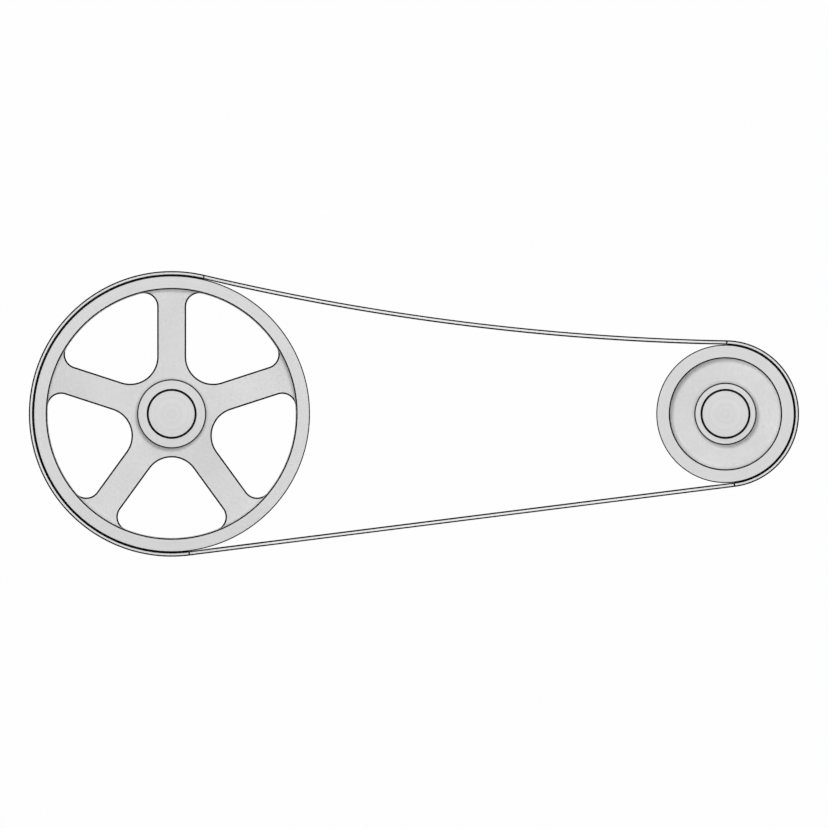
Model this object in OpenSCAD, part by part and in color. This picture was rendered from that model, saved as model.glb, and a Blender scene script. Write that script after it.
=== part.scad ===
// Flat belt drive: an endless laminated belt over a large five-arm pulley and a small disc pulley,
// each keyed to its own stub shaft. Millimetres, +Z up. The origin is on the large pulley's shaft
// axis, where the journal begins behind the hub. +X runs to the small pulley, and the front faces -Y.

/* [Drive] */
// Distance between the two shaft centres
centre_distance = 400; // [320:10:800]
// How far the slack span hangs inside the straight line that touches both pulleys
slack_sag = 10.5; // [4:0.5:30]

/* [Belt] */
// Width of the belt
belt_w = 50; // [30:1:60]
// Thickness of the friction ply, which grips the pulleys
friction_t = 0.7; // [0.4:0.1:2]
// Thickness of the tension core, which carries the pull
core_t = 1.5; // [0.8:0.1:3]
// Thickness of the cover ply on the outside
cover_t = 0.8; // [0.4:0.1:2]
// Gap that keeps the belt clear of the turning rims
belt_gap = 0.2; // [0.1:0.05:0.5]

/* [Rims] */
// Width of both rims
rim_w = 63; // [61:1:90]
// Wall of both rims
rim_t = 10; // [6:0.5:14]

/* [Driven pulley] */
// Diameter of the large pulley, which the belt drives
driven_d = 200; // [180:5:260]
// How much higher the middle of the large rim stands than its edges
driven_crown = 0.6; // [0.2:0.1:1.5]
// Number of arms
arm_count = 5; // [4:1:6]
// Width of an arm, seen from the front
arm_w = 20; // [14:1:26]
// Thickness of an arm, front to back
arm_t = 20; // [12:1:30]
// Radius between two arms at the hub
arm_hub_r = 20; // [14:1:24]
// Radius between an arm and the rim
arm_rim_r = 10; // [6:1:14]
// Diameter of the front boss of the large hub
driven_boss_d = 50; // [44:1:56]

/* [Driver pulley] */
// Diameter of the small pulley, which drives the belt
driver_d = 100; // [90:2:150]
// How much higher the middle of the small rim stands than its edges
driver_crown = 0.3; // [0.2:0.1:1]
// Thickness of the disc between hub and rim
disc_t = 18; // [10:1:30]
// Diameter of the front boss of the small hub
driver_boss_d = 45; // [42:1:52]

/* [Hubs] */
// Diameter of the rear boss of both hubs, which holds the screws
rear_boss_d = 60; // [56:1:62]
// How far the hub's front face lies behind the rim's front face
hub_inset = 3.5; // [1:0.5:10]
// How far the rear boss stands out behind the rim
hub_overhang = 20.5; // [18:0.5:40]
// Radius of the casting fillets round the bosses and inside the rims
cast_r = 3; // [1:0.5:4]

/* [Shafts] */
// Diameter of the shaft inside the hub
seat_d = 35; // [33:0.5:38]
// Radial clearance between the shaft and the hub's bore
seat_fit = 0.01; // [0.01:0.01:0.1]
// How far the shaft's end stands out of the hub
shaft_nose = 2; // [1:0.5:6]
// Chamfer on the shaft's front end
nose_chamfer = 0.5; // [0.3:0.1:1]
// Diameter of the journal behind the hub
journal_d = 40; // [39:0.5:50]
// Length of the journal behind the hub
journal_l = 45; // [30:1:90]
// Chamfer on the journal's free end
journal_chamfer = 1; // [0.5:0.5:3]

/* [Keys] */
// Width of the keys
key_w = 10; // [8:1:12]
// Height of the keys
key_h = 8; // [7:0.5:9]
// Length of the keys over their round ends
key_l = 50; // [32:1:56]
// Depth of the keyway in the shaft
keyway_depth = 5; // [4:0.5:5.5]
// Clearance between the top of a key and the hub
key_top_gap = 0.3; // [0.1:0.1:0.5]
// How far a key lies in front of the hub's rear face
key_setback = 6; // [2:1:10]

/* [Set screws] */
// Thread diameter of the set screws
screw_d = 8; // [6:1:8]
// Length of the screw that bears on the key
key_screw_l = 8; // [6:1:9]
// Length of the screw that bears on the shaft
lock_screw_l = 10; // [6:1:11]
// Distance across the flats of the screws' sockets
socket_af = 4; // [3:0.5:4]
// Depth of the screws' sockets
socket_depth = 4; // [2:0.5:4.5]
// Radial clearance of a screw in its hole
screw_fit = 0.05; // [0.02:0.01:0.1]

/* [Hidden] */
$fn = 180;
eps = 0.01;
bite = 0.05;
crown_steps = 6;

iron = "#d5d5d5";
steel = "#dadada";
dark_rubber = "#2e2e2e";
core_grey = "#d2d2d2";
screw_black = "#303030";

driven_r = driven_d / 2;
driver_r = driver_d / 2;
seat_r = seat_d / 2;
journal_r = journal_d / 2;
rear_boss_r = rear_boss_d / 2;

// Places along the shafts, measured from the shoulder where the hub seats
hub_rear_y = 0;
mid_y = -hub_overhang - rim_w / 2;
hub_front_y = mid_y - rim_w / 2 + hub_inset;
nose_y = hub_front_y - shaft_nose;
screw_y = -hub_overhang / 2 - 1;
key_rear_y = hub_rear_y - key_setback;
key_front_y = key_rear_y - key_l;

key_bottom_z = seat_r - keyway_depth;
key_top_z = key_bottom_z + key_h;

// The loop of the belt's inner face. The slack span is an arc that curves in and touches both
// wraps from outside. Its depth fixes its radius and where it leaves each pulley.
wrap_a = driven_r + belt_gap;
wrap_b = driver_r + belt_gap;
span_tilt = asin((wrap_a - wrap_b) / centre_distance);
span_l = centre_distance * cos(span_tilt);
root_sag = sqrt(slack_sag);
lead = span_l / 2 / root_sag + (wrap_a - wrap_b) * root_sag / span_l;
slack_r = (lead * lead + slack_sag) / 2 - wrap_a;
lowest = root_sag * lead;
slack_x = (wrap_a + slack_r - slack_sag) * sin(span_tilt) + lowest * cos(span_tilt);
slack_z = (wrap_a + slack_r - slack_sag) * cos(span_tilt) - lowest * sin(span_tilt);
leave_a = atan2(slack_z, slack_x);
leave_b = atan2(slack_z, slack_x - centre_distance);
tight_end = span_tilt - 90;

// A ply is the place of its inner face in the belt, its thickness and its colour
FRICTION = [0, friction_t, dark_rubber];
CORE = [friction_t, core_t, core_grey];
COVER = [friction_t + core_t, cover_t, dark_rubber];

// ---- placing ----

// Puts a wheel's pieces on the small pulley's axis
module at_driver() translate([centre_distance, 0, 0]) children();

// Turns an outline of radius and place along the shaft into a body round the shaft's axis. The turn
// starts straight up, inside an arm, so that no window meets its seam.
module around_shaft() rotate([0, -90, 0]) rotate([-90, 0, 0]) rotate_extrude() children();

// Gives an outline drawn in the front view a depth of w about the place y
module front_outline(y, w)
    translate([0, y, 0]) rotate([90, 0, 0]) linear_extrude(w, center = true) children();

// ---- belt ----

// An arc of belt about (x, z), as wide as the belt, between two radii and two angles
module belt_arc(x, z, r_in, r_out, from, to)
    translate([x, mid_y, z])
        rotate([90, 0, 0])
            rotate([0, 0, from])
                rotate_extrude(angle = to - from, $fn = 720)
                    translate([r_in, -belt_w / 2])
                        square([r_out - r_in, belt_w]);

// Belt round the large pulley, from the slack span over the far side to the tight span
module driven_wrap(ply)
    color(ply[2])
        belt_arc(0, 0, wrap_a + ply[0], wrap_a + ply[0] + ply[1], leave_a, 360 + tight_end);

// Belt round the small pulley, from the tight span to the slack span
module driver_wrap(ply)
    color(ply[2])
        belt_arc(centre_distance, 0, wrap_b + ply[0], wrap_b + ply[0] + ply[1], tight_end, leave_b);

// Upper stretch, which sags towards the lower one
module slack_span(ply)
    color(ply[2])
        belt_arc(slack_x, slack_z, slack_r - ply[0] - ply[1], slack_r - ply[0],
            180 + leave_a, 180 + leave_b);

// Lower stretch, pulled straight
module tight_span(ply)
    color(ply[2])
        front_outline(mid_y, belt_w)
            rotate(span_tilt)
                translate([0, -wrap_a - ply[0] - ply[1]])
                    square([span_l, ply[1]]);

// ---- pulleys ----

// Outline of a rim whose face is a shallow curve, highest in the middle
module rim_outline(r, crown) {
    face = [for (i = [-crown_steps : crown_steps])
        [r - crown * pow(i / crown_steps, 2), mid_y + rim_w / 2 * i / crown_steps]];
    polygon(concat([[r - rim_t, mid_y + rim_w / 2], [r - rim_t, mid_y - rim_w / 2]], face));
}

// Concave corner of radius cast_r, open towards +x and +y. It bites into the walls that it joins,
// so that its curve crosses their faces instead of only touching them.
module fillet_outline(x, y)
    translate([x, y]) difference() {
        translate([-2 * bite, -2 * bite]) square(cast_r + bite);
        translate([cast_r - bite, cast_r - bite]) circle(cast_r);
    }

// Outline of all inside the rim: web of thickness web_t, front boss, rear boss and cast corners
module hub_outline(rim_in, boss_r, web_t) {
    web_front = mid_y - web_t / 2;
    web_rear = mid_y + web_t / 2;
    translate([0, web_front]) square([rim_in + 1, web_t]);
    translate([0, hub_front_y]) square([boss_r, mid_y - hub_front_y]);
    translate([0, mid_y]) square([rear_boss_r, hub_rear_y - mid_y]);
    fillet_outline(rear_boss_r, web_rear);
    translate([rim_in, web_rear]) mirror([1, 0]) fillet_outline(0, 0);
    translate([boss_r, web_front]) mirror([0, 1]) fillet_outline(0, 0);
    translate([rim_in, web_front]) mirror([1, 0]) mirror([0, 1]) fillet_outline(0, 0);
}

// A set screw's place, turned by angle about the shaft from straight up, from radius r_from outwards
module screw_place(angle, r_from)
    rotate([0, angle, 0]) translate([0, screw_y, r_from]) children();

// Bore, keyway and screw holes that are cut into a hub
module hub_cuts() {
    around_shaft()
        translate([0, hub_front_y - eps])
            square([seat_r + seat_fit, hub_rear_y - hub_front_y + 2 * eps]);
    translate([-key_w / 2, key_front_y, 0])
        cube([key_w, hub_rear_y - key_front_y + eps, key_top_z + key_top_gap]);
    for (angle = [0, 90])
        screw_place(angle, 0) cylinder(h = rear_boss_r + 1, d = screw_d);
}

// One opening between two arms, about the upward axis. Its sides run along the arms, round
// into each other at the hub, and round into the rim, whose inside it just bites into.
module window_outline() {
    rim_in = driven_r - rim_t + bite;
    half = 180 / arm_count;
    hub_y = (arm_w / 2 + arm_hub_r) / sin(half);
    side = hub_y * cos(half);
    corner_x = arm_w / 2 + arm_rim_r;
    corner_y = sqrt(pow(rim_in - arm_rim_r, 2) - corner_x * corner_x);
    stretch = rim_in / (rim_in - arm_rim_r);
    // One side, drawn beside an upward arm: hub corner, rim corner, rim, and well past the rim
    beside_arm = [
        [arm_w / 2, side],
        [arm_w / 2, corner_y],
        [corner_x * stretch, corner_y * stretch],
        [corner_x * stretch * 1.2, corner_y * stretch * 1.2]
    ];
    left = [for (p = beside_arm) [p.x * cos(half) - p.y * sin(half), p.x * sin(half) + p.y * cos(half)]];
    right = [for (i = [len(left) - 1 : -1 : 0]) [-left[i].x, left[i].y]];
    intersection() {
        circle(rim_in);
        polygon(concat(left, [[0, rim_in * 1.4]], right));
    }
    translate([0, hub_y]) circle(arm_hub_r);
    for (s = [-1, 1])
        rotate(s * half) translate([s * corner_x, corner_y]) circle(arm_rim_r);
}

module driven_pulley()
    color(iron) difference() {
        union() {
            around_shaft() rim_outline(driven_r, driven_crown);
            difference() {
                around_shaft() hub_outline(driven_r - rim_t, driven_boss_d / 2, arm_t);
                for (i = [0 : arm_count - 1])
                    front_outline(mid_y, arm_t + 2 * cast_r + 1)
                        rotate((i + 0.5) * 360 / arm_count) window_outline();
            }
        }
        hub_cuts();
    }

module driver_pulley()
    color(iron) at_driver() difference() {
        around_shaft() {
            rim_outline(driver_r, driver_crown);
            hub_outline(driver_r - rim_t, driver_boss_d / 2, disc_t);
        }
        hub_cuts();
    }

// ---- shafts, keys and screws ----

// Round-ended slot or key, height h up from z, lying along the shaft
module key_shape(z, h) {
    translate([-key_w / 2, key_front_y + key_w / 2, z]) cube([key_w, key_l - key_w, h]);
    for (y = [key_front_y + key_w / 2, key_rear_y - key_w / 2])
        translate([0, y, z]) cylinder(h = h, d = key_w);
}

module shaft()
    difference() {
        around_shaft() polygon([
            [0, nose_y],
            [seat_r - nose_chamfer, nose_y],
            [seat_r, nose_y + nose_chamfer],
            [seat_r, hub_rear_y],
            [journal_r, hub_rear_y],
            [journal_r, journal_l - journal_chamfer],
            [journal_r - journal_chamfer, journal_l],
            [0, journal_l]
        ]);
        key_shape(key_bottom_z, seat_r);
    }

// Screw with a hexagon socket, its point at the origin and its head along +Z
module set_screw(length)
    difference() {
        cylinder(h = length, d = screw_d - 2 * screw_fit);
        translate([0, 0, length - socket_depth])
            cylinder(h = socket_depth + eps, d = socket_af / cos(30), $fn = 6);
    }

module key() key_shape(key_bottom_z, key_h);
module key_screw() screw_place(0, key_top_z) set_screw(key_screw_l);
module lock_screw() screw_place(90, seat_r) set_screw(lock_screw_l);

module driven_shaft() color(steel) shaft();
module driven_key() color(steel) key();
module driven_key_screw() color(screw_black) key_screw();
module driven_lock_screw() color(screw_black) lock_screw();

module driver_shaft() color(steel) at_driver() shaft();
module driver_key() color(steel) at_driver() key();
module driver_key_screw() color(screw_black) at_driver() key_screw();
module driver_lock_screw() color(screw_black) at_driver() lock_screw();

driven_wrap(FRICTION);  // driven_wrap_friction_ply
driven_wrap(CORE);  // driven_wrap_core_ply
driven_wrap(COVER);  // driven_wrap_cover_ply
slack_span(FRICTION);  // slack_span_friction_ply
slack_span(CORE);  // slack_span_core_ply
slack_span(COVER);  // slack_span_cover_ply
driver_wrap(FRICTION);  // driver_wrap_friction_ply
driver_wrap(CORE);  // driver_wrap_core_ply
driver_wrap(COVER);  // driver_wrap_cover_ply
tight_span(FRICTION);  // tight_span_friction_ply
tight_span(CORE);  // tight_span_core_ply
tight_span(COVER);  // tight_span_cover_ply
driven_pulley();
driven_shaft();
driven_key();
driven_key_screw();
driven_lock_screw();
driver_pulley();
driver_shaft();
driver_key();
driver_key_screw();
driver_lock_screw();
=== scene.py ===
import math
import bmesh
import bpy
from mathutils import Matrix, Vector


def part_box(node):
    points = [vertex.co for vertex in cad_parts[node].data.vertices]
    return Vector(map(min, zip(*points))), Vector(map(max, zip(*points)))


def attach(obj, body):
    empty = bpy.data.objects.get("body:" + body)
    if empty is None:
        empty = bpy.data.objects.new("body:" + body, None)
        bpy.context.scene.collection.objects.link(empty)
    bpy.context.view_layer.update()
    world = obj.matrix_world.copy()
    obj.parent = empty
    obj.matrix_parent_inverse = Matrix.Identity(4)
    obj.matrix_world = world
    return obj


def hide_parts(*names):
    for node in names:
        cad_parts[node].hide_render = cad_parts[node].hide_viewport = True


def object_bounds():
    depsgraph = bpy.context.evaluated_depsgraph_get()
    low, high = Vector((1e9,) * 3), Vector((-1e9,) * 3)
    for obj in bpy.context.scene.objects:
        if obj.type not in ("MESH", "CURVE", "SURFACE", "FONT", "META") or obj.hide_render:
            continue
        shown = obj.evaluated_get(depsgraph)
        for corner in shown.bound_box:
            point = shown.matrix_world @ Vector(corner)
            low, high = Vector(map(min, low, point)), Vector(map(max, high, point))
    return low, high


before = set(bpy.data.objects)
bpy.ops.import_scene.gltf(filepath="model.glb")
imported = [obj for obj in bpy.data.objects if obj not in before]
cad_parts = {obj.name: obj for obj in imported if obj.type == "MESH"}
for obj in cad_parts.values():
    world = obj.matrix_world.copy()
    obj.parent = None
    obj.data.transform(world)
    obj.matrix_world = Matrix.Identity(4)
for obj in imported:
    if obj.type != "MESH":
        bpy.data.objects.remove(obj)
cad_low, cad_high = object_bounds()
mm = 0.001

# ---- Shafts ----
# Two stub shafts of ground steel, one in each hub. Each is turned from bar: a seat for the hub,
# then a thicker journal behind the shoulder that the hub is pushed up against.

journal_low, journal_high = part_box("driven_shaft")
driver_low, driver_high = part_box("driver_shaft")
driver_x = (driver_low.x + driver_high.x) / 2
nose_y = journal_low.y
journal_end_y = journal_high.y
journal_r = (journal_high.z - journal_low.z) / 2
seat_r = 17.5 * mm
nose_edge = 1.0 * mm
shoulder_edge = 0.4 * mm
journal_chamfer = 1 * mm
# A row of points this far before the chamfer keeps the shine of the journal straight
chamfer_lead = 0.8 * mm
# The flat ends are fans of faces inside these radii
nose_fan_r = 6 * mm
end_fan_r = 8 * mm
shaft_sides = 160
slot_play = 0.02 * mm
slot_steps = 16
# Colours are linear, as red, green and blue, or as one grey
ground_steel = (0.785, 0.785, 0.79)
oiled_steel = (0.5, 0.5, 0.51)
film_dark, film_light = 0.0048, 0.0136
# Points closer than this become one, and corners sharper than this angle stay hard
weld = 0.008 * mm
crease = math.radians(32)


def adder(tree):
    """The function that adds a node to a tree, sets or links its inputs, and returns an output.
    It takes inputs by name, or by number as in0, and settings of the node itself as set_."""

    def add(kind, out=0, **inputs):
        made = tree.nodes.new("ShaderNode" + kind)
        for key in [k for k in inputs if k.startswith("set_")]:
            setattr(made, key[4:], inputs.pop(key))
        for key, value in inputs.items():
            by_number = key.startswith("in") and key[2:].isdigit()
            socket = made.inputs[int(key[2:]) if by_number else key.replace("_", " ")]
            if isinstance(value, bpy.types.NodeSocket):
                tree.links.new(value, socket)
            else:
                socket.default_value = value
        return made.outputs[out]

    return add


def finish_of(name, metallic, specular):
    """A new material, the function that adds its nodes, and one that links them to its shader."""
    material = bpy.data.materials.new(name)
    material.use_nodes = True
    tree = material.node_tree
    shader = tree.nodes["Principled BSDF"]
    shader.inputs["Metallic"].default_value = metallic
    shader.inputs["Specular IOR Level"].default_value = specular

    def into(socket, value):
        tree.links.new(value, shader.inputs[socket])

    return material, adder(tree), into


def math_of(add, operation, a, b=0.0):
    return add("Math", set_operation=operation, in0=a, in1=b)


def sum_of(add, *parts):
    """Adds up values, each times its share."""
    total = None
    for value, share in parts:
        part = math_of(add, "MULTIPLY", value, share)
        total = part if total is None else math_of(add, "ADD", total, part)
    return total


def between(add, value, low, high):
    """A value from 0 to 1 brought to the range from low to high."""
    return add("MapRange", Value=value, To_Min=low, To_Max=high)


def shade_of(add, value, dark, light):
    """A colour between two, for a value from 0 to 1."""
    return add("Mix", out=2, set_data_type="RGBA", in0=value, in6=(*dark, 1), in7=(*light, 1))


def place_in(add, axis_x):
    """Place on the object from the wheel's own axis, whole and as x, y and z."""
    moved = add("VectorMath", set_operation="SUBTRACT", in0=add("TexCoord", out=3), in1=(axis_x, 0, 0))
    return moved, add("SeparateXYZ", Vector=moved).node.outputs


def turned_steel(name, axis_x, light, rough, metallic=0.85):
    """Metal with the rings that a lathe tool leaves: close ones from its feed, broad ones from its
    chatter."""
    steel, add, into = finish_of(name, metallic, 0.5)
    moved, axes = place_in(add, axis_x)
    radius = math_of(add, "SQRT", sum_of(add, (axes[0], axes[0]), (axes[2], axes[2])))

    def rings_of(per_metre, detail):
        return add("TexNoise", Vector=add("CombineXYZ", X=math_of(add, "MULTIPLY", radius, per_metre),
                                          Y=math_of(add, "MULTIPLY", axes[1], per_metre)),
                   Scale=1.0, Detail=detail, Roughness=0.6)

    feed, chatter = rings_of(2600.0, 3.0), rings_of(480.0, 2.0)
    cloud = add("TexNoise", Vector=moved, Scale=45.0, Detail=4.0)
    tone = sum_of(add, (feed, 0.4), (chatter, 0.35), (cloud, 0.25))
    tone = add("MapRange", Value=tone, From_Min=0.35, From_Max=0.65)
    into("Base Color", shade_of(add, tone, tuple(c * 0.92 for c in light),
                                tuple(min(1.0, c * 1.06) for c in light)))
    into("Roughness", between(add, feed, rough - 0.08, rough + 0.1))
    into("Normal", add("Bump", Height=math_of(add, "ADD", feed, chatter), Strength=0.3,
                       Distance=0.12 * mm))
    return steel


def blackened(name):
    """The dark film that heat and old oil leave on a broken edge."""
    black, add, into = finish_of(name, 0.0, 0.0)
    cloud = add("TexNoise", Vector=add("TexCoord", out=3), Scale=900.0, Detail=4.0, Roughness=0.7)
    into("Base Color", shade_of(add, cloud, (film_dark,) * 3, (film_light,) * 3))
    into("Roughness", between(add, cloud, 0.6, 0.85))
    into("Normal", add("Bump", Height=cloud, Strength=0.25, Distance=0.06 * mm))
    return black


def even_columns(count):
    return [2 * math.pi * i / count for i in range(count)]


def ring_turn(bm, profile, columns, axis_x):
    """Turns a list of (radius, y, finish) round the axis. A stretch from one point to the next
    takes the first point's finish, and a radius of 0 closes the end with a fan."""
    rows = []
    for r, y, finish in profile:
        angles = columns if r else [0]
        rows.append([bm.verts.new((axis_x + r * math.sin(a), y, r * math.cos(a))) for a in angles])
    for point, first, second in zip(profile, rows, rows[1:]):
        if point[2] is None:
            continue
        for i in range(len(columns)):
            k = (i + 1) % len(columns)
            corners = [first[i % len(first)], first[k % len(first)],
                       second[k % len(second)], second[i % len(second)]]
            face = bm.faces.new(list(dict.fromkeys(corners)))
            face.material_index = point[2]
            face.smooth = True


def hoop(bm, first, second, finish=0):
    """The faces between two closed rows of points."""
    for i in range(len(first)):
        k = (i + 1) % len(first)
        bm.faces.new((first[i], first[k], second[k], second[i])).material_index = finish


def piece_of(bm, name, finishes, body, slot, *nodes):
    """Joins a shape's points, turns its faces outwards, and puts it on its body in place of the
    CAD nodes."""
    bmesh.ops.remove_doubles(bm, verts=bm.verts, dist=weld)
    bmesh.ops.recalc_face_normals(bm, faces=bm.faces)
    mesh = bpy.data.meshes.new(name)
    bm.to_mesh(mesh)
    bm.free()
    for finish in finishes:
        mesh.materials.append(finish)
    mesh.set_sharp_from_angle(angle=crease)
    piece = bpy.data.objects.new(name, mesh)
    bpy.context.scene.collection.objects.link(piece)
    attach(piece, body)
    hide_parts(*nodes)
    return piece


def cut_out(piece, cut):
    """Takes a closed shape out of a piece, as a drill or a milling cutter does. The faces that it
    leaves keep the shape's finish numbers."""
    bmesh.ops.recalc_face_normals(cut, faces=cut.faces)
    mesh = bpy.data.meshes.new("cutter")
    cut.to_mesh(mesh)
    cut.free()
    for finish in piece.data.materials:
        mesh.materials.append(finish)
    cutter = bpy.data.objects.new("cutter", mesh)
    bpy.context.scene.collection.objects.link(cutter)
    modifier = piece.modifiers.new("cut", "BOOLEAN")
    modifier.operation, modifier.solver, modifier.object = "DIFFERENCE", "EXACT", cutter
    modifier.material_mode = "INDEX"
    bpy.context.view_layer.update()
    done = bpy.data.meshes.new_from_object(piece.evaluated_get(bpy.context.evaluated_depsgraph_get()))
    piece.modifiers.clear()
    clean = bmesh.new()
    clean.from_mesh(done)
    bmesh.ops.remove_doubles(clean, verts=clean.verts, dist=weld)
    bmesh.ops.dissolve_degenerate(clean, edges=clean.edges, dist=weld)
    clean.to_mesh(done)
    clean.free()
    piece.data = done
    done.set_sharp_from_angle(angle=crease)
    bpy.data.objects.remove(cutter)
    bpy.data.meshes.remove(mesh)


def key_slot(piece, key):
    """Mills the round-ended slot that the key lies in."""
    low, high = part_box(key)
    middle_x, end_r = (low.x + high.x) / 2, (high.x - low.x) / 2
    slot_r = end_r + slot_play
    outline = []
    for end_y, start in ((high.y - end_r, 0), (low.y + end_r, math.pi)):
        for angle in (start + math.pi * i / slot_steps for i in range(slot_steps + 1)):
            outline.append((middle_x + slot_r * math.cos(angle), end_y + slot_r * math.sin(angle)))
    cut = bmesh.new()
    floor, top = [[cut.verts.new((x, y, z)) for x, y in outline] for z in (low.z, seat_r + 2 * mm)]
    hoop(cut, floor, top)
    cut.faces.new(list(reversed(floor)))
    cut.faces.new(top)
    cut_out(piece, cut)


def stub_shaft(name, axis_x, body, node, key):
    """One shaft, turned from its nose to the journal's end. Its finishes are ground, dark, oiled."""
    chamfer_y = journal_end_y - journal_chamfer
    bm = bmesh.new()
    ring_turn(bm, [
        (0, nose_y, 0), (nose_fan_r, nose_y, 0), (seat_r - nose_edge, nose_y, 1),
        (seat_r, nose_y + nose_edge, 0), (seat_r, 0, 2),
        (journal_r - shoulder_edge, 0, 1), (journal_r, shoulder_edge, 2),
        (journal_r, chamfer_y - chamfer_lead, 2), (journal_r, chamfer_y, 1),
        (journal_r - journal_chamfer, journal_end_y, 2), (end_fan_r, journal_end_y, 2),
        (0, journal_end_y, 2),
    ], even_columns(shaft_sides), axis_x)
    finishes = [turned_steel(name + "_ground_steel", axis_x, ground_steel, 0.34),
                blackened(name + "_dark_edge"),
                turned_steel(name + "_oiled_journal", axis_x, oiled_steel, 0.3, metallic=0.95)]
    key_slot(piece_of(bm, name, finishes, body, "shaft_steel", node), key)


stub_shaft("large_stub_shaft", 0.0, "driven_wheel", "driven_shaft", "driven_key")
stub_shaft("small_stub_shaft", driver_x, "driver_wheel", "driver_shaft", "driver_key")

# ---- Keys ----
# Round-ended keys of bright steel, one in each shaft's milled slot. The hub slides over them from
# the front, so only their place shows, as a slit beside the journal.

bright_steel = (0.6, 0.6, 0.61)

for key, axis_x in (("driven_key", 0.0), ("driver_key", driver_x)):
    key_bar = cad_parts[key]
    key_bar.data.materials.clear()
    key_bar.data.materials.append(turned_steel(key + "_bright_steel", axis_x, bright_steel, 0.38))

# ---- Large pulley ----
# One iron casting: a rim, five arms and a hub, painted grey. The rim's face and edges, the boss
# faces and the bore are turned after casting, and every turned corner is broken with a chamfer.

rim_low, rim_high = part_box("driven_pulley")
rim_front_y, hub_rear_y = rim_low.y, rim_high.y
rim_r = round(rim_high.x, 3)
rim_w = 63 * mm
rim_t = 10 * mm
inner_r = rim_r - rim_t
rim_rear_y = rim_front_y + rim_w
mid_y = rim_front_y + rim_w / 2
crown = 0.6 * mm
hub_front_y = nose_y + 2 * mm
arm_count = 5
arm_w = 20 * mm
arm_t = 20 * mm
arm_hub_r = 20 * mm
arm_rim_r = 10 * mm
boss_r = 25 * mm
rear_boss_r = 30 * mm
cast_r = 3 * mm
bore_r = seat_r + 0.01 * mm
# Widths of the broken corners: of the rim's face, inside the rim, on the bosses and round the bore
rim_edge = 0.22 * mm
inner_edge = 1.0 * mm
boss_edge = 0.9 * mm
bore_edge = 0.6 * mm
# An arm's corner is rounded: it starts arm_break inside the arm's outline, and ends arm_lip outside
# it and twice arm_break deep. From there the window's wall has draft, up to where the mould parts.
arm_break = 0.65 * mm
arm_lip = 0.48 * mm
draft = 0.5 * mm
# Two tapped holes and a keyway, which is open at both ends and clears the key's top
screw_y = hub_rear_y - 11.25 * mm
hole_r = 4 * mm
hole_edge = 0.7 * mm
hole_sides = 48
hole_from = 10 * mm
hole_past = 3 * mm
near_hole = 5 * mm
beside_hole = 6 * mm
keyway_low = Vector((-5 * mm, -56 * mm, 10 * mm))
keyway_high = Vector((5 * mm, 1 * mm, 20.8 * mm))
paint_grey = 0.69
turned_iron = (0.71, 0.71, 0.71)
bored_iron = (0.34, 0.34, 0.35)
# The belt keeps the rim's face bright this far from its middle, and it is black from there on
bright_to = 8.5 * mm
black_from = 11.5 * mm
track_black, track_bright = 0.008, 0.55

PAINT, TURNED, EDGE, BORE, TRACK = range(5)


def running_face(name, axis_x):
    """The rim's face. Rubber from the belt has blackened it, but for the crown, which the belt keeps
    polished. Both run into each other in fine streaks round the rim."""
    face, add, into = finish_of(name, 0.0, 0.0)
    moved, axes = place_in(add, axis_x)
    off = math_of(add, "ABSOLUTE", math_of(add, "SUBTRACT", axes[1], mid_y))

    def streaks_of(per_metre, detail):
        return add("TexNoise", Vector=add("CombineXYZ", Y=math_of(add, "MULTIPLY", axes[1], per_metre)),
                   Scale=1.0, Detail=detail, Roughness=0.65)

    fine, broad = streaks_of(1900.0, 4.0), streaks_of(420.0, 3.0)
    patch = add("TexNoise", Vector=moved, Scale=150.0, Detail=5.0)
    for noise, much in ((fine, 5 * mm), (broad, 7 * mm), (patch, 2.5 * mm)):
        stray = math_of(add, "MULTIPLY", math_of(add, "SUBTRACT", noise, 0.5), much)
        off = math_of(add, "ADD", off, stray)
    bright = add("MapRange", set_interpolation_type="SMOOTHSTEP", Value=off,
                 From_Min=black_from, From_Max=bright_to, To_Min=0.0, To_Max=1.0)
    grain = add("MapRange", Value=fine, From_Min=0.35, From_Max=0.65, To_Min=0.55, To_Max=1.0)
    tone = sum_of(add, (bright, grain), (fine, 0.07), (patch, -0.05))
    into("Base Color", shade_of(add, add("Clamp", Value=tone), (track_black,) * 3, (track_bright,) * 3))
    into("Metallic", math_of(add, "MULTIPLY", bright, 0.75))
    into("Roughness", between(add, bright, 0.75, 0.34))
    into("Normal", add("Bump", Height=math_of(add, "ADD", fine, broad), Strength=0.3,
                       Distance=0.1 * mm))
    return face


def cast_paint(name, axis_x, grey):
    """Grey machine paint over sand-cast iron: grains and pits show through it, the pits with painted
    shade in them, and its tone drifts.
    """
    paint, add, into = finish_of(name, 0.0, 0.4)
    moved, axes = place_in(add, axis_x)
    sand = add("TexNoise", Vector=moved, Scale=420.0, Detail=6.0, Roughness=0.65)
    swell = add("TexNoise", Vector=moved, Scale=70.0, Detail=3.0)
    cloud = add("TexNoise", Vector=moved, Scale=24.0, Detail=5.0)
    pits = add("MapRange", set_interpolation_type="SMOOTHSTEP",
               Value=add("TexVoronoi", Vector=moved, Scale=230.0), From_Min=0.0, From_Max=0.2)
    tone = sum_of(add, (cloud, 0.55), (sand, 0.45))
    tone = add("MapRange", Value=tone, From_Min=0.3, From_Max=0.7)
    # Painted shade: the colour darkens towards the middle of each pit, as if shade fell in it
    tone = math_of(add, "MULTIPLY", tone, between(add, pits, 0.4, 1.0))
    into("Base Color", shade_of(add, tone, (grey * 0.93,) * 3, (grey * 1.07,) * 3))
    into("Roughness", between(add, sand, 0.36, 0.6))
    into("Normal", add("Bump", Height=sum_of(add, (swell, 2.2), (sand, 1.0), (pits, 0.5)),
                       Strength=0.7, Distance=0.5 * mm))
    return paint


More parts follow.
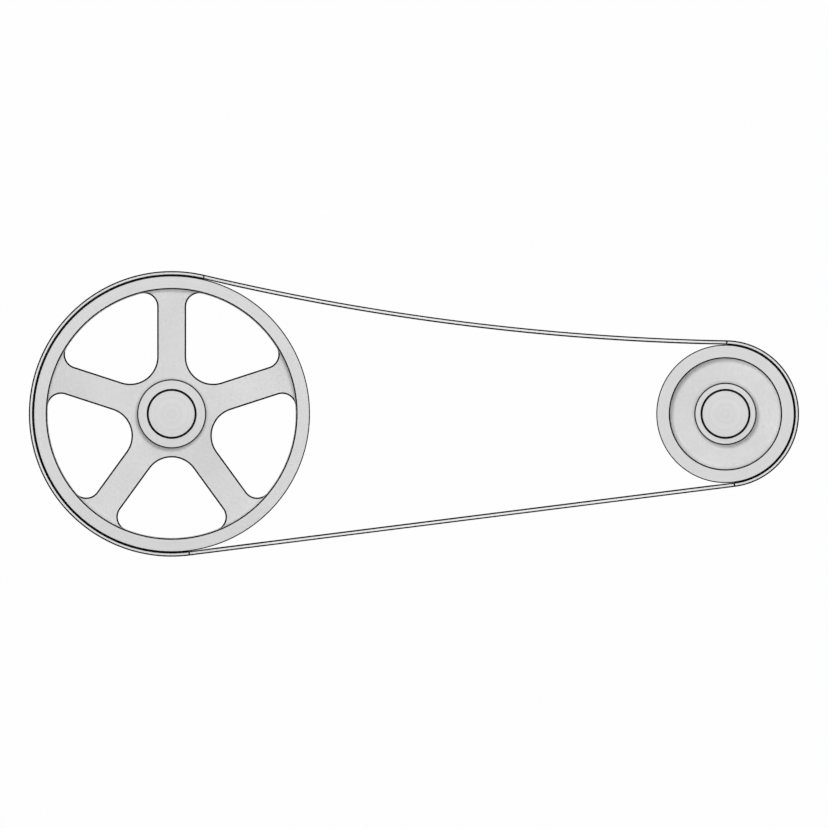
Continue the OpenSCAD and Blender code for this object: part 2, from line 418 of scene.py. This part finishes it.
def iron_finishes(name, axis_x, grey):
    """A casting's finishes, in the order of PAINT, TURNED, EDGE, BORE and TRACK."""
    return [
        cast_paint(name + "_grey_paint", axis_x, grey),
        turned_steel(name + "_turned_iron", axis_x, turned_iron, 0.42, metallic=0.3),
        blackened(name + "_dark_edge"),
        turned_steel(name + "_bored_iron", axis_x, bored_iron, 0.45),
        running_face(name + "_running_face", axis_x),
    ]


def rim_band(outer, inner, crown_of, broken):
    """The turned rim's section, from the inside wall round the front, the crowned face and the rear."""
    steps = 16
    face_y = [rim_front_y + broken + (rim_w - 2 * broken) * i / steps for i in range(steps + 1)]
    face_r = [outer - crown_of * ((y - mid_y) / (rim_w / 2)) ** 2 for y in face_y]
    return (
        [(inner, rim_front_y + inner_edge, EDGE), (inner + inner_edge, rim_front_y, TURNED),
         (face_r[0] - broken, rim_front_y, EDGE)] +
        [(r, y, TRACK) for r, y in zip(face_r[:-1], face_y)] +
        [(face_r[-1], face_y[-1], EDGE), (face_r[-1] - broken, rim_rear_y, TURNED),
         (inner + inner_edge, rim_rear_y, EDGE), (inner, rim_rear_y - inner_edge, None)]
    )


def arc(centre, radius, first, last, steps):
    """Points on an arc, each with the direction away from the centre."""
    angles = (first + (last - first) * i / steps for i in range(steps + 1))
    away = [Vector((math.cos(a), math.sin(a))) for a in angles]
    return [(centre + radius * n, n) for n in away]


def arm_side():
    """One side of an arm that points up: point, direction into the iron, and width of its corner.
    It runs round the hub corner, up the arm and round the rim corner, where the width runs out."""
    half = math.pi / arm_count
    out = (arm_w / 2 + arm_hub_r) / math.sin(half)
    hub_c = Vector((out * math.sin(half), out * math.cos(half)))
    corner_x = arm_w / 2 + arm_rim_r
    rim_c = Vector((corner_x, math.sqrt((inner_r - arm_rim_r) ** 2 - corner_x ** 2)))
    steps = 12
    up = [hub_c.y + (rim_c.y - hub_c.y) * i / steps for i in range(1, steps)]
    points = (arc(hub_c, arm_hub_r, 1.5 * math.pi - half, math.pi, 18) +
              [(Vector((arm_w / 2, z)), Vector((-1, 0))) for z in up] +
              arc(rim_c, arm_rim_r, math.pi, math.atan2(rim_c.y, rim_c.x), 24))
    return [(p, n, min(arm_break, max(0.0, (inner_r - p.length) / 2))) for p, n in points]


def web_y(r, boss, back):
    """Place of the arms' front face, with back at -1, or rear face, with back at 1. The face rises
    in a cast corner at the boss and at the rim."""
    away = max(boss + cast_r - r, r - (inner_r - cast_r), 0.0)
    rise = cast_r - math.sqrt(max(0.0, cast_r ** 2 - away ** 2))
    return mid_y + back * (arm_t / 2 + rise)


def five_arms(bm):
    """The arms and the ring that they grow from, front and rear, with the walls of the windows.
    Returns the angles of the columns round the hub, and of those across one arm's root at the rim."""
    side = arm_side()
    across = 24
    share = [2 * i / across - 1 for i in range(across + 1)]
    corner_steps = 7
    least = 0.05 * mm
    no_length = 0.0001 * mm

    def at(r, angle, y):
        return bm.verts.new((r * math.sin(angle), y, r * math.cos(angle)))

    def both_sides(p, turn, y):
        angle = math.atan2(p.x, p.y)
        return at(p.length, turn - angle, y), at(p.length, turn + angle, y)

    def strip(first, second, finish):
        for a, b, c, d in zip(first, first[1:], second[1:], second):
            if (a.co - b.co).length < no_length and (c.co - d.co).length < no_length:
                continue
            face = bm.faces.new((a, b, c, d))
            face.material_index = finish
            face.smooth = True

    for arm in range(arm_count):
        turn = 2 * math.pi * arm / arm_count
        walls = []
        for back, boss in ((-1, boss_r), (1, rear_boss_r)):
            # Rings up the cast corner at the boss, as far as the windows leave room for them
            p, n, wide = side[0]
            room = (p + n * wide).length - 2 * least
            rings = [boss + cast_r - cast_r * math.cos(math.pi / 2 * i / corner_steps)
                     for i in range(corner_steps + 1)]
            rings = [r for r in rings if r < room] or [boss]
            web = [[at(r, turn + s * math.pi / arm_count, web_y(r, boss, back)) for s in share]
                   for r in rings]
            # Then the arm, a row across it at each point of its side
            rows, corners, lips = [], [], []
            for p, n, wide in side:
                q = p + n * wide
                angle, r = math.atan2(q.x, q.y), max(q.length, boss + least)
                y = web_y(r, boss, back)
                rows.append([at(r, turn + s * angle, y) for s in share])
                corners.append(both_sides(p, turn, y - back * wide))
                lips.append(both_sides(p - n * arm_lip * wide / arm_break, turn, y - 2 * back * wide))
            faces = web + rows
            for lower, upper in zip(faces, faces[1:]):
                strip(lower, upper, PAINT)
            for i in (0, 1):
                strip([c[i] for c in corners], [row[-i] for row in rows], EDGE)
                strip([c[i] for c in corners], [lip[i] for lip in lips], EDGE)
            walls.append(lips)
        parting = [both_sides(p - n * draft, turn, mid_y) for p, n, wide in side]
        for i in (0, 1):
            strip([lip[i] for lip in walls[0]], [p[i] for p in parting], PAINT)
            strip([p[i] for p in parting], [lip[i] for lip in walls[1]], PAINT)
    hub = [2 * math.pi * k / arm_count + s * math.pi / arm_count
           for k in range(arm_count) for s in share[:-1]]
    root = math.atan2(side[-1][0].x, side[-1][0].y)
    return hub, [s * root for s in share]


def hub_bosses(bm, columns, axis_x, front_r, front_foot, rear_foot):
    """The front and rear bosses and the bore. Rows stand close together beside the screw holes."""
    beside = (beside_hole, near_hole, -near_hole, -beside_hole)
    rear_y = [hub_rear_y - boss_edge] + [screw_y + d for d in beside]
    ring_turn(bm, [
        (front_r, front_foot, PAINT), (front_r, hub_front_y + boss_edge, EDGE),
        (front_r - boss_edge, hub_front_y, TURNED), (bore_r + bore_edge, hub_front_y, EDGE),
        (bore_r, hub_front_y + bore_edge, BORE),
        (bore_r, screw_y - beside_hole, BORE), (bore_r, screw_y + beside_hole, BORE),
        (bore_r, hub_rear_y - bore_edge, EDGE), (bore_r + bore_edge, hub_rear_y, TURNED),
        (rear_boss_r - boss_edge, hub_rear_y, EDGE), *[(rear_boss_r, y, PAINT) for y in rear_y],
        (rear_boss_r, rear_foot, None),
    ], columns, axis_x)


def drilled(piece, axis_x):
    """Cuts the two tapped holes and the keyway, and breaks the edge of each hole."""
    cut = bmesh.new()
    for along in (Vector((0, 0, 1)), Vector((1, 0, 0))):
        turn = Vector((0, 0, 1)).rotation_difference(along).to_matrix().to_4x4()
        to = Matrix.Translation((axis_x, screw_y, 0)) @ turn
        rows = [[cut.verts.new(to @ Vector((r * math.cos(a), r * math.sin(a), z)))
                 for a in even_columns(hole_sides)]
                for r, z in ((hole_r, hole_from), (hole_r, rear_boss_r - hole_edge),
                             (hole_r + hole_edge, rear_boss_r),
                             (hole_r + hole_edge, rear_boss_r + hole_past))]
        for finish, first, second in zip((BORE, EDGE, BORE), rows, rows[1:]):
            hoop(cut, first, second, finish)
        cut.faces.new(list(reversed(rows[0]))).material_index = BORE
        cut.faces.new(rows[-1]).material_index = BORE
    keyway = bmesh.ops.create_cube(cut, size=1)["verts"]
    middle, size = (keyway_low + keyway_high) / 2 + Vector((axis_x, 0, 0)), keyway_high - keyway_low
    for corner in keyway:
        corner.co = middle + Vector(a * b for a, b in zip(corner.co, size))
        for face in corner.link_faces:
            face.material_index = BORE
    cut_out(piece, cut)


iron = bmesh.new()
hub_columns, arm_columns = five_arms(iron)
hub_bosses(iron, hub_columns, 0.0, boss_r,
           web_y(boss_r, boss_r, -1), web_y(rear_boss_r, rear_boss_r, 1))
root = arm_columns[-1]
window = 2 * math.pi / arm_count - 2 * root
window_steps = 18
free_columns = [root + window * i / window_steps for i in range(1, window_steps)]
per_arm = arm_columns + free_columns
rim_columns = [2 * math.pi * k / arm_count + a for k in range(arm_count) for a in per_arm]
ring_turn(iron, rim_band(rim_r, inner_r, crown, rim_edge), rim_columns, 0.0)
# The rim's inside wall, with draft too, and left open where an arm grows out of it
wall_at = [(inner_r, rim_front_y + inner_edge), (inner_r, web_y(inner_r, boss_r, -1)),
           (inner_r - draft, mid_y),
           (inner_r, web_y(inner_r, rear_boss_r, 1)), (inner_r, rim_rear_y - inner_edge)]
wall = [[iron.verts.new((r * math.sin(a), y, r * math.cos(a))) for a in rim_columns]
        for r, y in wall_at]
for row, (front, rear) in enumerate(zip(wall, wall[1:])):
    for i in range(len(rim_columns)):
        if row in (1, 2) and i % len(per_arm) < len(arm_columns) - 1:
            continue
        k = (i + 1) % len(rim_columns)
        face = iron.faces.new((front[i], front[k], rear[k], rear[i]))
        face.material_index = PAINT
        face.smooth = True
large_pulley = piece_of(iron, "large_pulley_casting", iron_finishes("large_pulley", 0.0, paint_grey),
                        "driven_wheel", "pulley_iron", "driven_pulley")
drilled(large_pulley, 0.0)

# ---- Small pulley ----
# One iron casting too, but its rim and hub are joined by a plain disc. It is turned all over the
# rim and the boss faces, and has the same bore, keyway and tapped holes as the large one.

small_low, small_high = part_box("driver_pulley")
small_r = round((small_high.x - small_low.x) / 2, 3)
small_inner_r = small_r - rim_t
small_crown = 0.3 * mm
small_rim_edge = 0.5 * mm
small_boss_r = 22.5 * mm
disc_t = 18 * mm
disc_front_y, disc_rear_y = mid_y - disc_t / 2, mid_y + disc_t / 2
small_sides = 200
# Its paint is a little paler, because the disc sits deeper in the shade of its rim
small_paint_grey = 0.745


def quarter(r, y, first, last):
    """Painted points on a cast corner about (r, y), from one angle to another in degrees."""
    steps = 7
    angles = [math.radians(first + (last - first) * i / steps) for i in range(steps + 1)]
    return [(r + cast_r * math.cos(a), y + cast_r * math.sin(a), PAINT) for a in angles]


iron = bmesh.new()
columns = even_columns(small_sides)
ring_turn(iron, rim_band(small_r, small_inner_r, small_crown, small_rim_edge), columns, driver_x)
ring_turn(iron, quarter(small_boss_r + cast_r, disc_front_y - cast_r, 180, 90) +
          quarter(small_inner_r - cast_r, disc_front_y - cast_r, 90, 0) +
          [(small_inner_r, rim_front_y + inner_edge, None)], columns, driver_x)
ring_turn(iron, quarter(rear_boss_r + cast_r, disc_rear_y + cast_r, 180, 270) +
          quarter(small_inner_r - cast_r, disc_rear_y + cast_r, 270, 360) +
          [(small_inner_r, rim_rear_y - inner_edge, None)], columns, driver_x)
hub_bosses(iron, columns, driver_x, small_boss_r, disc_front_y - cast_r, disc_rear_y + cast_r)
small_pulley = piece_of(iron, "small_pulley_casting",
                        iron_finishes("small_pulley", driver_x, small_paint_grey),
                        "driver_wheel", "pulley_iron", "driver_pulley")
drilled(small_pulley, driver_x)

# ---- Set screws ----
# Four short blackened screws with hexagon sockets. One in each hub bears on the key and the other
# bears on the shaft, and both are sunk a little below the boss.

screw_r = 3.95 * mm
screw_sides = 48
cup_r = 2.0 * mm
cup_depth = 0.8 * mm
point_chamfer = 0.9 * mm
head_chamfer = 0.5 * mm
socket_half = 2 * mm
socket_depth = 4 * mm
socket_cone = 0.4 * mm
mouth_half = 1.12 * socket_half
mouth_depth = 0.25 * mm
oxide_dark = (0.02, 0.02, 0.022)
oxide_worn = (0.07, 0.07, 0.075)


def black_oxide(name):
    """Blackened steel: nearly black, with a soft shine and paler wear where a wrench has turned."""
    oxide, add, into = finish_of(name, 0.7, 0.5)
    cloud = add("TexNoise", Vector=add("TexCoord", out=3), Scale=600.0, Detail=4.0)
    into("Base Color", shade_of(add, cloud, oxide_dark, oxide_worn))
    into("Roughness", between(add, cloud, 0.32, 0.5))
    into("Normal", add("Bump", Height=cloud, Strength=0.2, Distance=0.05 * mm))
    return oxide


def socket_screw(node, body, along):
    """A set screw that points back along its direction, with a cup point and a hexagon socket."""
    low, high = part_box(node)
    length = (high - low).dot(along)
    turn = Vector((0, 0, 1)).rotation_difference(along).to_matrix().to_4x4()
    to = Matrix.Translation((low + high) / 2 - along * length / 2) @ turn
    angles = even_columns(screw_sides)
    bm = bmesh.new()

    def at(r, a, z):
        return bm.verts.new(to @ Vector((r * math.cos(a), r * math.sin(a), z)))

    def hexagon(half, z):
        bends = [(a + math.pi / 6) % (math.pi / 3) - math.pi / 6 for a in angles]
        return [at(half / math.cos(bend), a, z) for a, bend in zip(angles, bends)]

    rows = [[at(r, a, z) for a in angles] for r, z in (
        (cup_r, 0), (screw_r - point_chamfer, 0), (screw_r, point_chamfer),
        (screw_r, length - head_chamfer), (screw_r - head_chamfer, length))]
    rows += [hexagon(mouth_half, length), hexagon(socket_half, length - mouth_depth),
             hexagon(socket_half, length - socket_depth)]
    for first, second in zip(rows, rows[1:]):
        hoop(bm, first, second)
    cup, socket_end = at(0, 0, cup_depth), at(0, 0, length - socket_depth - socket_cone)
    for i in range(screw_sides):
        k = (i + 1) % screw_sides
        bm.faces.new((cup, rows[0][k], rows[0][i]))
        bm.faces.new((rows[-1][i], rows[-1][k], socket_end))
    for face in bm.faces:
        face.smooth = True
    piece_of(bm, node.replace("_screw", "_socket_screw"), [black_oxide(node + "_black_oxide")],
             body, "screw_steel", node)


for wheel in ("driven", "driver"):
    socket_screw(wheel + "_key_screw", wheel + "_wheel", Vector((0, 0, 1)))
    socket_screw(wheel + "_lock_screw", wheel + "_wheel", Vector((1, 0, 0)))

# ---- Belt ----
# An endless flat belt of three plies glued together: a rubber friction ply that grips the rims, a
# pale plastic core that carries the pull, and a rubber cover ply. Both rubbers carry woven fabric.

belt_low, belt_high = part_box("slack_span_core_ply")
belt_front_y, belt_rear_y = belt_low.y, belt_high.y
plies = (("friction", 0.7 * mm), ("core", 1.5 * mm), ("cover", 0.8 * mm))
gap = 0.2 * mm
wrap_a, wrap_b = rim_r + gap, small_r + gap
# The tight span is the straight line below both wheels
span_tilt = math.asin((wrap_a - wrap_b) / driver_x)
span_l = driver_x * math.cos(span_tilt)
tight_end = span_tilt - math.pi / 2
# The slack span hangs as an arc that meets both wheels smoothly. Its lowest point lies slack_sag
# below the straight line above both wheels, and the arc's centre lies above it.
slack_sag = 10.5 * mm
root_sag = math.sqrt(slack_sag)
lead = span_l / 2 / root_sag + (wrap_a - wrap_b) * root_sag / span_l
slack_r = (lead ** 2 + slack_sag) / 2 - wrap_a
lowest = root_sag * lead
rise = wrap_a + slack_r - slack_sag
slack_x = rise * math.sin(span_tilt) + lowest * math.cos(span_tilt)
slack_z = rise * math.cos(span_tilt) - lowest * math.sin(span_tilt)
leave_a = math.atan2(slack_z, slack_x)
leave_b = math.atan2(slack_z, slack_x - driver_x)
# The friction ply fills the running clearance but for a hair, and on the spans its nap stands up
hair = 0.03 * mm
nap = 0.2 * mm
nap_ease = 16 * mm
crown_ease = 3 * mm
# The plies' outer corners are soft, and glue shows along the core's edge and where stretches meet
soft = 0.12 * mm
seam = 0.2 * mm
thin_seam = 0.03 * mm
glue_w = 0.55 * mm
weave_pitch = 1.3 * mm
rubber_grey, yarn_grey = 0.1, 0.55
cut_dark, cut_light = 0.0048, 0.0128
core_dark, core_light = 0.76, 0.88

CUT, BROAD, GLUE = range(3)


def woven_rubber(name):
    """Plain-woven yarn pressed into rubber. The weave follows the belt along and across it."""
    woven, add, into = finish_of(name, 0.0, 0.3)
    axes = add("SeparateXYZ", Vector=add("UVMap", set_uv_map="belt_run")).node.outputs
    warp, weft = (math_of(add, "SINE", math_of(add, "MULTIPLY", axis, math.pi / weave_pitch))
                  for axis in axes[:2])
    over = math_of(add, "MULTIPLY", warp, weft)
    fuzz = add("TexNoise", Vector=add("TexCoord", out=3), Scale=1400.0, Detail=3.0)
    cloud = add("TexNoise", Vector=add("TexCoord", out=3), Scale=30.0, Detail=3.0)
    tone = sum_of(add, (math_of(add, "ABSOLUTE", over), 0.7), (fuzz, 0.35), (cloud, 0.12))
    into("Base Color", shade_of(add, add("Clamp", Value=tone), (rubber_grey,) * 3, (yarn_grey,) * 3))
    into("Roughness", between(add, fuzz, 0.62, 0.85))
    into("Normal", add("Bump", Height=math_of(add, "ADD", over, fuzz), Strength=0.4,
                       Distance=0.12 * mm))
    return woven


def cut_rubber(name):
    """Rubber where the knife has cut it: matt, with short streaks across the thickness."""
    cut, add, into = finish_of(name, 0.0, 0.0)
    drawn = add("VectorMath", set_operation="MULTIPLY", in0=add("TexCoord", out=3), in1=(700, 200, 700))
    streaks = add("TexNoise", Vector=drawn, Scale=1.0, Detail=4.0)
    into("Base Color", shade_of(add, streaks, (cut_dark,) * 3, (cut_light,) * 3))
    into("Roughness", between(add, streaks, 0.6, 0.85))
    into("Normal", add("Bump", Height=streaks, Strength=0.3, Distance=0.08 * mm))
    return cut


def core_plastic(name):
    """Pale drawn plastic with faint lines along the belt."""
    core, add, into = finish_of(name, 0.0, 0.35)
    axes = add("SeparateXYZ", Vector=add("UVMap", set_uv_map="belt_run")).node.outputs
    lines = add("TexNoise", Vector=add("CombineXYZ", X=math_of(add, "MULTIPLY", axes[0], 60.0),
                                       Y=math_of(add, "MULTIPLY", axes[1], 2500.0)),
                Scale=1.0, Detail=3.0)
    into("Base Color", shade_of(add, lines, (core_dark,) * 3, (core_light,) * 3))
    into("Roughness", between(add, lines, 0.45, 0.6))
    into("Normal", add("Bump", Height=lines, Strength=0.15, Distance=0.06 * mm))
    return core


def run_of(stretch):
    """Points along a stretch on the line of the belt's inner face, with the direction out of the
    loop and the distance run. The first and last steps are short, for the glue lines."""
    if stretch == "tight_span":
        steps = 40
        away = Vector((math.sin(span_tilt), -math.cos(span_tilt)))
        way = Vector((math.cos(span_tilt), math.sin(span_tilt)))
        runs = [0, glue_w] + [span_l * i / steps for i in range(1, steps)] + [span_l - glue_w, span_l]
        return [(wrap_a * away + way * s, away, s) for s in runs]
    x, z, r, first, last, step = {
        "driven_wrap": (0.0, 0.0, wrap_a, leave_a, 2 * math.pi + tight_end, 1.2),
        "driver_wrap": (driver_x, 0.0, wrap_b, tight_end, leave_b, 1.2),
        "slack_span": (slack_x, slack_z, slack_r, math.pi + leave_a, math.pi + leave_b, 0.35),
    }[stretch]
    out = -1 if stretch == "slack_span" else 1
    count = int(abs(last - first) / math.radians(step))
    angles = [first, first + glue_w / r] + [first + (last - first) * i / count for i in range(1, count)]
    angles += [last - glue_w / r, last]
    runs = []
    for a in angles:
        away = Vector((math.cos(a), math.sin(a)))
        runs.append((Vector((x, z)) + r * away, out * away, r * (a - first)))
    return runs


def lie_of(stretch, y, s, length):
    """How far the friction ply's inner face lies in from its line. On a pulley it bends down over
    the crown, and on a span its nap stands up. Both ease off towards the stretch's ends."""
    rise = {"driven_wrap": crown, "driver_wrap": small_crown}.get(stretch)
    from_end = min(s, length - s)
    if rise is None:
        return gap - hair + nap * min(1.0, from_end / nap_ease) ** 2
    return gap - hair + rise * min(1.0, from_end / crown_ease) * ((y - mid_y) / (rim_w / 2)) ** 2


def ply_section(ply, low, high):
    """A ply's outline as (height, y, finish). Each side takes its first point's finish."""
    front, rear = belt_front_y, belt_rear_y
    if ply == "friction":
        steps = 10
        across = [rear - soft - (rear - front - 2 * soft) * i / steps for i in range(steps + 1)]
        return ([(low + soft, front, CUT), (high, front, BROAD), (high, rear, CUT),
                 (low + soft, rear, CUT)] + [(low, y, BROAD) for y in across[:-1]] +
                [(low, across[-1], CUT)])
    if ply == "core":
        return [(low, front, GLUE), (low + thin_seam, front, CUT), (high - seam, front, GLUE),
                (high, front, BROAD), (high, rear, GLUE), (high - seam, rear, CUT),
                (low + thin_seam, rear, GLUE), (low, rear, BROAD)]
    return [(low, front, CUT), (high - soft, front, CUT), (high, front + soft, BROAD),
            (high, rear - soft, CUT), (high - soft, rear, CUT), (low, rear, BROAD)]


def ply_finishes(stretch, ply):
    """A ply's finishes, in the order of CUT, BROAD and GLUE."""
    if ply == "core":
        return [core_plastic(stretch + "_core_edge"), core_plastic(stretch + "_core_face"),
                blackened(stretch + "_core_glue_line")]
    return [cut_rubber(f"{stretch}_{ply}_cut_rubber"), woven_rubber(f"{stretch}_{ply}_woven_rubber"),
            blackened(f"{stretch}_{ply}_glue_line")]


def ply_piece(stretch, ply, inner, thick, start):
    """One ply of one stretch, with a dark glue line at each end. The start is the distance run
    along the belt before it, which the weave follows on from one stretch to the next."""
    section = ply_section(ply, inner, inner + thick)
    runs = run_of(stretch)
    length = runs[-1][2]
    bm = bmesh.new()
    uv = bm.loops.layers.uv.new("belt_run")
    rings = []
    for p, away, s in runs:
        ring = []
        for height, y, finish in section:
            if ply == "friction" and height < inner + thick:
                height -= lie_of(stretch, y, s, length)
            q = p + away * height
            ring.append(bm.verts.new((q.x, y, q.y)))
        rings.append(ring)

    def lay(face, finish, marks):
        face.material_index = finish
        face.smooth = True
        for loop, mark in zip(face.loops, marks):
            loop[uv].uv = mark

    for i in range(len(runs) - 1):
        here, there = start + runs[i][2], start + runs[i + 1][2]
        at_end = i in (0, len(runs) - 2)
        for j, (height, y, finish) in enumerate(section):
            k = (j + 1) % len(section)
            next_y = section[k][1]
            face = bm.faces.new((rings[i][j], rings[i][k], rings[i + 1][k], rings[i + 1][j]))
            lay(face, GLUE if at_end else finish,
                [(here, y), (here, next_y), (there, next_y), (there, y)])
    ends = [bm.faces.new(ring) for ring in (rings[0], rings[-1])]
    for face in ends:
        lay(face, GLUE, [(start, y) for height, y, finish in section])
    bmesh.ops.triangulate(bm, faces=ends, ngon_method="BEAUTY")
    slot = "belt_core" if ply == "core" else f"belt_{ply}_rubber"
    piece_of(bm, f"{stretch}_{ply}_strip", ply_finishes(stretch, ply), "belt", slot,
             f"{stretch}_{ply}_ply")


inner = 0.0
for ply, thick in plies:
    start = 0.0
    for stretch in ("driven_wrap", "tight_span", "driver_wrap", "slack_span"):
        ply_piece(stretch, ply, inner, thick, start)
        start += run_of(stretch)[-1][2]
    inner += thick

# ---- Floor, light and camera ----
# A pale floor just below the belt, soft lamps before, behind and far above, and an even white room,
# so that all sides are lit alike. The floor ends short of the front lamp, whose light it would throw
# back as glints. The camera looks straight at the front, without perspective.

floor_z = cad_low.z - 12 * mm
floor_reach = 6.0
floor_front_y = -2.0
paper_dark, paper_light = 0.84, 0.86
room_light = 0.28
room_white = 0.99
floor_mesh = bpy.data.meshes.new("studio_floor")
floor_mesh.from_pydata([(-floor_reach, floor_front_y, floor_z), (floor_reach, floor_front_y, floor_z),
                        (floor_reach, floor_reach, floor_z), (-floor_reach, floor_reach, floor_z)],
                       [], [(0, 1, 2, 3)])
floor = bpy.data.objects.new("studio_floor", floor_mesh)
bpy.context.scene.collection.objects.link(floor)
paper, add, into = finish_of("studio_paper", 0.0, 0.0)
grain = add("TexNoise", Vector=add("TexCoord", out=3), Scale=30.0)
into("Base Color", shade_of(add, grain, (paper_dark,) * 3, (paper_light,) * 3))
paper.node_tree.nodes["Principled BSDF"].inputs["Roughness"].default_value = 0.9
floor_mesh.materials.append(paper)

# The room gives little light, but is near white where it is looked at or mirrored
room = bpy.data.worlds.new("white_room")
room.use_nodes = True
tree = room.node_tree
add = adder(tree)
lighting = tree.nodes["Background"]
lighting.inputs["Color"].default_value = (1, 1, 1, 1)
lighting.inputs["Strength"].default_value = room_light
seen = add("Background", Color=(room_white, room_white, room_white, 1))
rays = add("LightPath").node.outputs
looking = math_of(add, "MAXIMUM", rays["Is Camera Ray"], rays["Is Glossy Ray"])
looking = math_of(add, "MAXIMUM", looking, rays["Is Transmission Ray"])
chosen = add("MixShader", in0=looking, in1=lighting.outputs[0], in2=seen)
tree.links.new(chosen, tree.nodes["World Output"].inputs["Surface"])
bpy.context.scene.world = room


def hang_lamp(lamp, place, level):
    """Hangs a lamp at a place, facing the middle of the drive, and keeps it out of reflections."""
    lamp.energy = level
    held = bpy.data.objects.new(lamp.name, lamp)
    held.location = place
    aim = Vector(((cad_low.x + cad_high.x) / 2, mid_y, 0)) - Vector(place)
    held.rotation_mode = "QUATERNION"
    held.rotation_quaternion = aim.to_track_quat("-Z", "Y")
    held.visible_glossy = False
    bpy.context.scene.collection.objects.link(held)


front_lamp = bpy.data.lights.new("front_lamp", "AREA")
front_lamp.size = 0.5
hang_lamp(front_lamp, (0.14, -3.2, 0.3), 56)
rear_lamp = bpy.data.lights.new("rear_lamp", "AREA")
rear_lamp.size = 0.9
hang_lamp(rear_lamp, (0.5, 3.0, 0.9), 46)
upper_lamp = bpy.data.lights.new("upper_lamp", "SUN")
upper_lamp.angle = 0.5
hang_lamp(upper_lamp, (-0.7, -0.9, 1.9), 0.57)

eye = bpy.data.cameras.new("front_camera")
eye.type = "ORTHO"
eye.ortho_scale = 0.59805
camera = bpy.data.objects.new("front_camera", eye)
camera.location = (0.17504, -2, -0.0001)
camera.rotation_euler = (math.pi / 2, 0, 0)
bpy.context.scene.collection.objects.link(camera)
bpy.context.scene.camera = camera
bpy.context.scene.view_settings.view_transform = "Standard"
